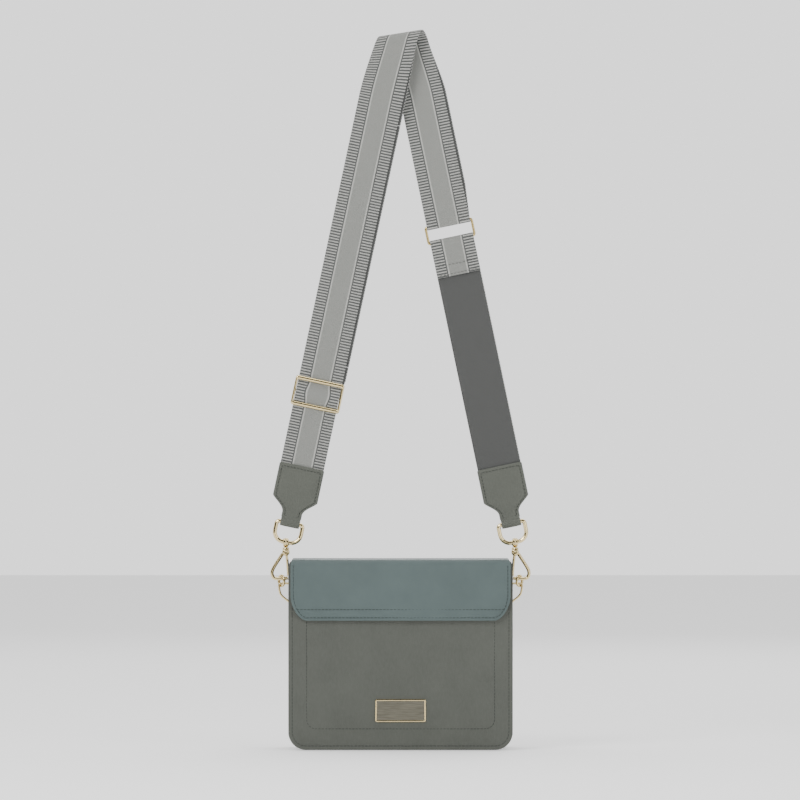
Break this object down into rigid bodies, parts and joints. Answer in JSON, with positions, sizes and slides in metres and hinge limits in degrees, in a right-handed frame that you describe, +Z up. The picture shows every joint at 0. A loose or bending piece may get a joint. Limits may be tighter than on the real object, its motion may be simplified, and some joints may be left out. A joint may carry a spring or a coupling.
{
  "type": "crossbody bag",
  "caption": "Boxy crossbody bag with a front flap, a blank name plate and an adjustable webbing strap on swivel hooks, hanging from its strap.",
  "frame": {"origin": "inside of the bend at the top of the strap, where a peg or a hand holds the bag", "axes": "+X across the bag to the viewer's right, +Y from the flap's front to the back panel, +Z up"},
  "size_m": [0.2355, 0.0711, 0.6502],
  "materials": {
    "panel_leather": "fine cross-grain pressed leather, olive grey, satin",
    "flap_leather": "smooth teal-grey leather, satin",
    "tab_leather": "fine cross-grain pressed leather, olive grey, satin",
    "board": "pressed fibre board, hidden",
    "lining": "plain woven lining cloth, dark grey",
    "webbing": "woven jacquard webbing with ladder borders, matte",
    "webbing_reverse": "plain dark reverse of the webbing, matte",
    "gold": "pale gold plating, polished",
    "plate_metal": "brushed dark field with a pale gold border",
    "steel": "spring steel"
  },
  "bodies": {
    "strap": {"long_webbing": "webbing", "inner_webbing": "webbing", "return_webbing": "webbing_reverse", "short_webbing": "webbing_reverse", "tab_left": "tab_leather", "tab_right": "tab_leather", "strap_ring": "gold"},
    "slider": {"slider": "gold", "webbing_end_loop": "webbing_reverse"},
    "d_ring_left": {"d_ring_left": "gold", "swivel_eye_left": "gold"},
    "d_ring_right": {"d_ring_right": "gold", "swivel_eye_right": "gold"},
    "hook_left": {"hook_left": "gold", "gate_pin_left": "gold", "gate_spring_left": "steel"},
    "hook_right": {"hook_right": "gold", "gate_pin_right": "gold", "gate_spring_right": "steel"},
    "gate_left": {"gate_left": "gold"},
    "gate_right": {"gate_right": "gold"},
    "bag": {"front_panel": "panel_leather", "rear_panel": "panel_leather", "front_board": "board", "rear_board": "board", "front_pocket_cloth": "lining", "inner_slip_pocket": "lining", "gusset": "panel_leather", "base_board": "board", "lining": "lining", "name_plate": "plate_metal", "magnet_socket": "gold", "flap_back": "flap_leather", "bridge_left": "gold", "bridge_right": "gold", "bridge_rivet_left_upper": "gold", "bridge_rivet_left_lower": "gold", "bridge_rivet_right_upper": "gold", "bridge_rivet_right_lower": "gold"},
    "side_ring_left": {"side_ring_left": "gold"},
    "side_ring_right": {"side_ring_right": "gold"},
    "flap": {"flap_cover": "flap_leather", "flap_lining": "lining", "magnet_stud": "gold"}
  },
  "joints": [
    {"name": "bag_swing", "type": "hinge", "parent": "d_ring_left", "child": "bag", "pos_m": [0, 0, -0.49312], "axis": [1, 0, 0], "range_deg": [-25, 25]},
    {"name": "d_ring_left_swing", "type": "hinge", "parent": "strap", "child": "d_ring_left", "pos_m": [-0.1005, 0, -0.4425], "axis": [1, 0, 0], "range_deg": [-12, 12]},
    {"name": "d_ring_right_swing", "type": "hinge", "parent": "strap", "child": "d_ring_right", "pos_m": [0.1005, 0, -0.4425], "axis": [1, 0, 0], "range_deg": [-12, 12]},
    {"name": "hook_left_swivel", "type": "hinge", "parent": "d_ring_left", "child": "hook_left", "pos_m": [-0.10423, 0, -0.45991], "axis": [0, 0, 1], "range_deg": [-8, 8]},
    {"name": "hook_right_swivel", "type": "hinge", "parent": "d_ring_right", "child": "hook_right", "pos_m": [0.10414, 0, -0.45992], "axis": [0, 0, 1], "range_deg": [-8, 8]},
    {"name": "gate_left_open", "type": "hinge", "parent": "hook_left", "child": "gate_left", "pos_m": [-0.10423, 0, -0.46891], "axis": [0, 1, 0], "range_deg": [0, 9], "stiffness_Nm_per_rad": 0.02, "springref_deg": -2.86},
    {"name": "gate_right_open", "type": "hinge", "parent": "hook_right", "child": "gate_right", "pos_m": [0.10414, 0, -0.46892], "axis": [0, -1, 0], "range_deg": [0, 9], "stiffness_Nm_per_rad": 0.02, "springref_deg": -2.86},
    {"name": "side_ring_left_tilt", "type": "hinge", "parent": "bag", "child": "side_ring_left", "pos_m": [-0.10823, 0, -0.49732], "axis": [1, 0, 0], "range_deg": [-6, 6]},
    {"name": "side_ring_right_tilt", "type": "hinge", "parent": "bag", "child": "side_ring_right", "pos_m": [0.10814, 0, -0.49732], "axis": [1, 0, 0], "range_deg": [-6, 6]},
    {"name": "flap_lift", "type": "hinge", "parent": "bag", "child": "flap", "pos_m": [0, -0.0075, -0.4749], "axis": [-1, 0, 0], "range_deg": [0, 90]},
    {"name": "slider_slide", "type": "slide", "parent": "strap", "child": "slider", "axis": [0.2096, -0.0193, 0.9776], "range_m": [-0.045, 0.15], "deforming": ["return_webbing"]}
  ],
  "couplings": [
    {"joint": "d_ring_right_swing", "follows": "d_ring_left_swing", "ratio": 1}
  ]
}
